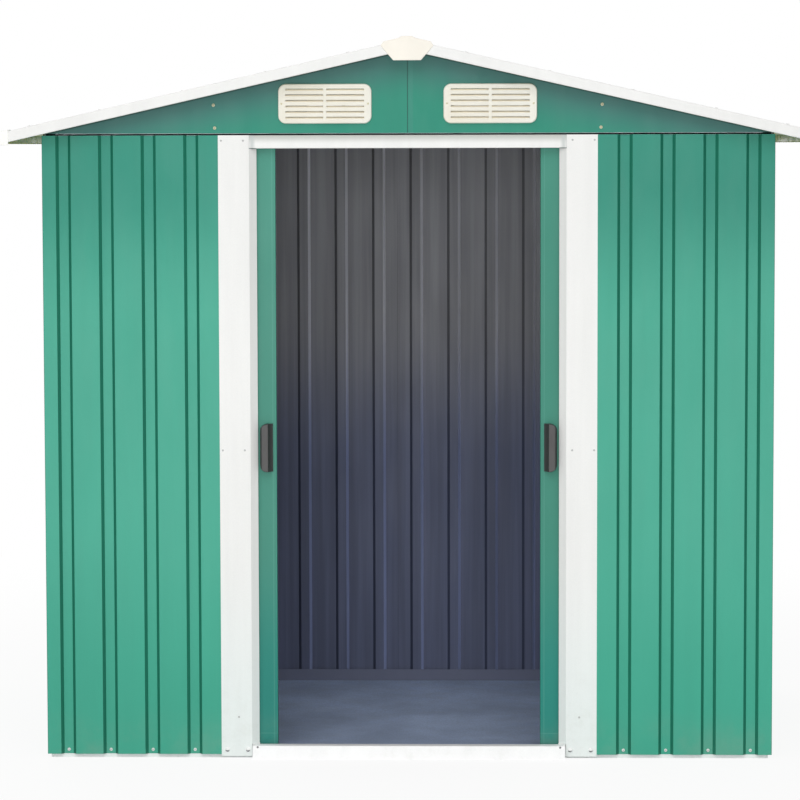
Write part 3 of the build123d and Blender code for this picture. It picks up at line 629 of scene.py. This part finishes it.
def dome_template(radius, rise):
    """Round dome with a small washer lip, on +Z."""
    bm = bmesh.new()
    count = 24
    steps = [(radius * 1.12, 0.0), (radius * 1.12, 0.12 * rise), (radius, 0.16 * rise)]
    steps += [(radius * math.cos(a), (0.16 + 0.84 * math.sin(a)) * rise)
              for a in (math.radians(d) for d in (18, 36, 52, 66, 78))]
    rings = [circle(bm, r, z, count) for r, z in steps]
    skin(bm, rings, capped=False)
    crown = bm.verts.new((0, 0, rise))
    for i in range(count):
        bm.faces.new((rings[-1][i], rings[-1][(i + 1) % count], crown))
    return as_mesh("dome", bm)


def spread(name, template, places, material, body):
    """One object with a copy of the template at each (point in mm, outward normal)."""
    bm = bmesh.new()
    for point, normal in places:
        up = Vector(normal).normalized()
        spin = Matrix.Rotation(random.uniform(0, math.pi / 2), 4, "Z")
        turn = Vector(Z).rotation_difference(up).to_matrix().to_4x4()
        piece = template.copy()
        piece.transform(Matrix.Translation(Vector(point) * MM) @ turn @ spin)
        bm.from_mesh(piece)
        bpy.data.meshes.remove(piece)
    made = as_object(name, as_mesh(name, bm, turn_out=False), material, 35)
    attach(made, body)


screw_white = plastic("screw_coat", SCREW_WHITE, 0.3)
screw_cream = plastic("screw_cream", SCREW_CREAM, 0.35)
screw_grey = plastic("screw_grey", SCREW_GREY, 0.3)
screw_dark = plastic("screw_dark", SCREW_DARK, 0.35)
screw_dome = dome_plating("screw_dome")
small_head = head_template(4.2 * MM, 2.6 * MM)
large_head = dome_template(5.7 * MM, 4.8 * MM)
pin_head = head_template(2.6 * MM, 1.2 * MM)
washer_head = head_template(5.0 * MM, 3.2 * MM, 3.0 * MM)

# Wall screws, in the floors of the grooves
FOOT_ROW, BRACE_ROW, REAR_TOP_ROW, SIDE_TOP_ROW = 20.5, 800.0, 1588.0, 1576.0
front_grooves = [-HALF_WIDTH + GROOVE_PITCH / 2 + i * GROOVE_PITCH for i in range(4)]
side_grooves = [(i - 5) * GROOVE_PITCH for i in range(11)]
rear_grooves = [(i - 8) * GROOVE_PITCH for i in range(17)]
groove_face = HALF_DEPTH - GROOVE_DEPTH
side_groove_face = HALF_WIDTH - SHEET - GROOVE_DEPTH
white_places = []
for x in front_grooves:
    for sign in (-1, 1):
        white_places.append(((sign * x, -groove_face, FOOT_ROW), (0, -1, 0)))
for x in rear_grooves:
    for z in (FOOT_ROW, REAR_TOP_ROW):
        white_places.append(((x, groove_face, z), (0, 1, 0)))
for y in side_grooves:
    for sign in (-1, 1):
        for z in (FOOT_ROW, BRACE_ROW, SIDE_TOP_ROW):
            white_places.append(((sign * side_groove_face, y, z), (sign, 0, 0)))
spread("wall_screws", small_head, white_places, screw_white, "shed")

# Screws of the jambs and the threshold
JAMB_ROWS, JAMB_COLUMNS, JAMB_LOW_SCREW = (1588, 797), (419, 475), (438, 107)
JAMB_FOOT_COLUMNS, JAMB_FOOT_ROW = (415, 468), 22.5
jamb_places = []
for sign in (-1, 1):
    for z in JAMB_ROWS:
        for x in JAMB_COLUMNS:
            jamb_places.append(((sign * x, JAMB_FACE, z), (0, -1, 0)))
    x, z = JAMB_LOW_SCREW
    jamb_places.append(((sign * x, JAMB_FACE, z), (0, -1, 0)))
spread("jamb_screws", pin_head, jamb_places, screw_grey, "shed")
foot_places = [((sign * x, JAMB_FACE, JAMB_FOOT_ROW), (0, -1, 0))
               for sign in (-1, 1) for x in JAMB_FOOT_COLUMNS]
spread("jamb_foot_screws", large_head, foot_places, screw_dome, "shed")
SILL_SCREW_X, SILL_SCREW_Z = 389, 31.4
sill_front = SILL_NOSE + SILL_LEAN * SILL_SCREW_Z / SILL_TOP
sill_places = [((sign * SILL_SCREW_X, sill_front, SILL_SCREW_Z), (0, -1, SILL_TILT))
               for sign in (-1, 1)]
spread("threshold_screws", pin_head, sill_places, screw_dark, "shed")

# Screws of the gables and their vents
GABLE_BOLTS = ((494, 1678), (491, 1620))
VENT_SCREW_OFFSET = 110    # from the middle of a vent
gable_places = [((sign * x, way * HALF_DEPTH, z), (0, way, 0))
                for way in (-1, 1) for sign in (-1, 1) for x, z in GABLE_BOLTS]
spread("gable_bolts", small_head, gable_places, screw_cream, "shed")
vent_places = [((sign * VENT_X + offset, way * VENT_FACE, VENT_HEIGHT), (0, way, 0))
               for way in (-1, 1) for sign in (-1, 1)
               for offset in (-VENT_SCREW_OFFSET, VENT_SCREW_OFFSET)]
spread("vent_screws", pin_head, vent_places, screw_cream, "shed")


# Screws of the roof
def on_roof(x, y, lift):
    """A point above the roof's slope, and the normal there."""
    lean = math.atan(ROOF_SLOPE)
    side = 1 if x > 0 else -1
    height = RIDGE_HEIGHT - ROOF_SLOPE * abs(x) + lift / math.cos(lean)
    return (x, y, height), (side * math.sin(lean), 0, math.cos(lean))


ON_SHEET, ON_TRIM = 0.5, 9.3    # how far a screw's foot lies above the slope
RIDGE_WING_X, EAVE_TRIM_X = 48, 1020
GABLE_TRIM_Y, GABLE_TRIM_COLUMNS = 630, (150, 360, 570, 780, 960)
roof_places, trim_places = [], []
for sign in (-1, 1):
    for i in range(-5, 6):
        roof_places += [on_roof(sign * x, i * GROOVE_PITCH, ON_SHEET)
                        for x in (BEAM_X, SIDE_TOP_X)]
    for i in range(-2, 3):
        trim_places.append(on_roof(sign * RIDGE_WING_X, i * 2.5 * GROOVE_PITCH, ON_TRIM))
        trim_places.append(on_roof(sign * EAVE_TRIM_X, i * 2.0 * GROOVE_PITCH, ON_TRIM))
    for way in (-1, 1):
        trim_places += [on_roof(sign * x, way * GABLE_TRIM_Y, ON_TRIM)
                        for x in GABLE_TRIM_COLUMNS]
spread("roof_screws", washer_head, roof_places, screw_grey, "shed")
spread("roof_trim_screws", small_head, trim_places, screw_white, "shed")


# Small plates that close the corners of the base frame and the ends of the threshold
def plates(name, outlines, material, body):
    """Flat plates from (plane, outline, start, end) in mm, each mirrored to both sides in X."""
    bm = bmesh.new()
    for plane, outline, start, end in outlines:
        for sign in (-1, 1):
            rings = []
            for depth in (start, end):
                points = [(depth, a, b) if plane == "yz" else (a, b, depth) for a, b in outline]
                rings.append([bm.verts.new((sign * x * MM, y * MM, z * MM))
                              for x, y, z in points])
            skin(bm, rings)
    made = as_object(name, as_mesh(name, bm), material)
    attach(made, body)


def snipped(a0, b0, a1, b1, cut):
    """A rectangle with its upper corners cut off."""
    return [(a0, b0), (a1, b0), (a1, b1 - cut), (a1 - cut, b1), (a0 + cut, b1), (a0, b1 - cut)]


# The front corners have two plates, with the rib of the floor track between them
PLATE_FOOT, PLATE_TOP, PLATE_LOW_TOP = 1.0, 44.0, 19.0
PLATE_X = (922.6, 923.2)
corner_outlines = [snipped(549.0, PLATE_FOOT, 583.5, PLATE_TOP, 4.0),
                   snipped(-583.5, PLATE_FOOT, -572.2, PLATE_LOW_TOP, 2.0),
                   snipped(-566.8, PLATE_FOOT, -550.0, PLATE_LOW_TOP, 2.0)]
plates("base_corner_plates", [("yz", outline, *PLATE_X) for outline in corner_outlines],
       rail_white, "shed")
NOTCH_Z, FLAP_X = (34.1, 35.15), (400.6, 401.6)
notch = [(385.6, -594.6), (401.6, -594.6), (401.6, -592.6), (386.8, -577.8), (385.6, -577.8)]
flap = [(-615.4, 0.6), (-594.9, 0.6), (-594.9, 33.9), (-609.9, 33.9)]
plates("threshold_end_plates", [("xy", notch, *NOTCH_Z), ("yz", flap, *FLAP_X)],
       sill_white, "shed")


# Sealant where the jambs' slants come down on the threshold
def foot_beads():
    """Filleted beads that close the slit between each slant's lower edge and the threshold."""
    section = [(-0.8, 0.0), (2.8, 0.0), (2.6, 0.9), (1.8, 2.0), (0.8, 2.8), (-0.8, 3.2)]
    start, end, rest = Vector((386.5, -576.5)), Vector((401.8, -591.8)), 35.25
    diagonal, steps = 0.7071, 8
    bm = bmesh.new()
    for sign in (-1, 1):
        rings = []
        for i in range(steps + 1):
            x, y = start.lerp(end, i / steps)
            swell = 1.0 + 0.07 * math.sin(i * 2.3)
            rings.append([bm.verts.new((sign * (x - u * swell * diagonal) * MM,
                                        (y - u * swell * diagonal) * MM,
                                        (rest + w * swell) * MM)) for u, w in section])
        skin(bm, rings)
    sealant = plastic("sealant_white", SEALANT, 0.5, 0.05)
    made = as_object("jamb_foot_beads", as_mesh("jamb_foot_beads", bm), sealant, 50)
    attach(made, "shed")


# Black rubber strip in the gap between the walls and the gables, a dark piece that stands in for
# the gap's shadow
def shadow_gap_strip(name, way):
    """Soft black strip with a bulb at its front, along the gap above the end walls, standing in
    for the gap's shadow.
    """
    back, front, foot, top = 585.2, 586.6, 1601.9, 1605.4
    reach, steps = 930.0, 60
    middle, radius = (foot + top) / 2, (top - foot) / 2
    outline = [(back, foot), (front, foot)]
    outline += [(front + radius * 0.9 * math.cos(a), middle + radius * math.sin(a))
                for a in (math.radians(d) for d in range(-75, 76, 25))]
    outline += [(front, top), (back, top)]
    bm = bmesh.new()
    rings = []
    for i in range(steps + 1):
        x = -reach + 2 * reach / steps * i
        sway = 0.12 * math.sin(i * 1.7)
        rings.append([bm.verts.new((x * MM, way * y * MM, (z + sway) * MM)) for y, z in outline])
    skin(bm, rings)
    made = as_object(name, as_mesh(name, bm), shadow_gap_black, 40)
    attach(made, "shed")


foot_beads()
# A black strip that stands in for the gap's shadow
shadow_gap_black = plastic("shadow_gap_rubber", SHADOW_GAP_BLACK, 0.9, 0.3, specular=0.05)
shadow_gap_strip("front_shadow_gap", -1)
shadow_gap_strip("rear_shadow_gap", 1)


# Floor and background
def sees_background(tree):
    """1 for the rays that show the white background, which are all but those that light."""
    path = tree.nodes.new("ShaderNodeLightPath")
    value = path.outputs["Is Camera Ray"]
    for kind in ("Is Glossy Ray", "Is Transmission Ray"):
        larger = tree.nodes.new("ShaderNodeMath")
        larger.operation = "MAXIMUM"
        tree.links.new(value, larger.inputs[0])
        tree.links.new(path.outputs[kind], larger.inputs[1])
        value = larger.outputs[0]
    return value


def stage_floor():
    """Wide pale floor that turns into the white background away from the shed."""
    mesh = bpy.data.meshes.new("ground")
    size = 40.0
    mesh.from_pydata([(-size, -size, 0), (size, -size, 0), (size, size, 0), (-size, size, 0)],
                     [], [(0, 1, 2, 3)])
    made = bpy.data.objects.new("ground", mesh)
    scene.collection.objects.link(made)
    s = Shader("pale_floor")
    s.finish((0.9, 0.9, 0.9, 1.0), 0.9)
    distance = s.add("ShaderNodeVectorMath", operation="LENGTH")
    s.link(s.coords, distance.inputs[0])
    far = s.ramp(distance.outputs["Value"], 1.6, 4.0, 0.9, 1.0)
    glow = s.add("ShaderNodeEmission")
    glow.inputs["Color"].default_value = (1, 1, 1, 1)
    glow.inputs["Strength"].default_value = 1.0
    blend = s.add("ShaderNodeMixShader")
    s.link(s.product(sees_background(s.tree), far), blend.inputs["Fac"])
    s.link(s.bsdf.outputs[0], blend.inputs[1])
    s.link(glow.outputs[0], blend.inputs[2])
    s.link(blend.outputs[0], s.tree.nodes["Material Output"].inputs["Surface"])
    mesh.materials.append(s.mat)


def studio_world(light):
    """World that lights at the given strength and shows as white."""
    world = bpy.data.worlds.new("studio")
    scene.world = world
    world.use_nodes = True
    tree = world.node_tree
    level = tree.nodes.new("ShaderNodeMapRange")
    level.inputs["To Min"].default_value = light
    level.inputs["To Max"].default_value = 1.0
    tree.links.new(sees_background(tree), level.inputs["Value"])
    background = tree.nodes["Background"]
    background.inputs["Color"].default_value = (1, 1, 1, 1)
    tree.links.new(level.outputs["Result"], background.inputs["Strength"])


def lamp(name, place, target, size, power):
    """Area lamp that faces its target."""
    data = bpy.data.lights.new(name, "AREA")
    data.shape = "RECTANGLE"
    data.size, data.size_y = size
    data.energy = power
    made = bpy.data.objects.new(name, data)
    made.location = place
    made.rotation_euler = (Vector(target) - Vector(place)).to_track_quat("-Z", "Y").to_euler()
    made.visible_camera = False
    scene.collection.objects.link(made)


stage_floor()
studio_world(0.52)
lamp("key", (-0.2, -4.4, 4.8), (0, 0, 0.9), (4.5, 3.0), 85)
lamp("front_fill", (-0.35, -6.8, 1.3), (0, 0, 0.9), (5.0, 2.2), 103)
lamp("rear_fill", (-1.5, 5.4, 3.6), (0, 0, 0.9), (4.5, 3.0), 120)

# Camera: almost square on to the front, turned a little to the left, down and over
turn_left, look_down, roll = (math.radians(d) for d in (1.32, 4.372, -0.137))
camera = bpy.data.cameras.new("camera")
camera.lens = 150.09
camera.sensor_width = 36.0
made = bpy.data.objects.new("camera", camera)
made.matrix_world = (Matrix.Translation((0.175, -9.093, 1.576))
                     @ Matrix.Rotation(turn_left, 4, "Z")
                     @ Matrix.Rotation(math.pi / 2 - look_down, 4, "X")
                     @ Matrix.Rotation(roll, 4, "Z"))
scene.collection.objects.link(made)
scene.camera = made
scene.view_settings.view_transform = "Standard"
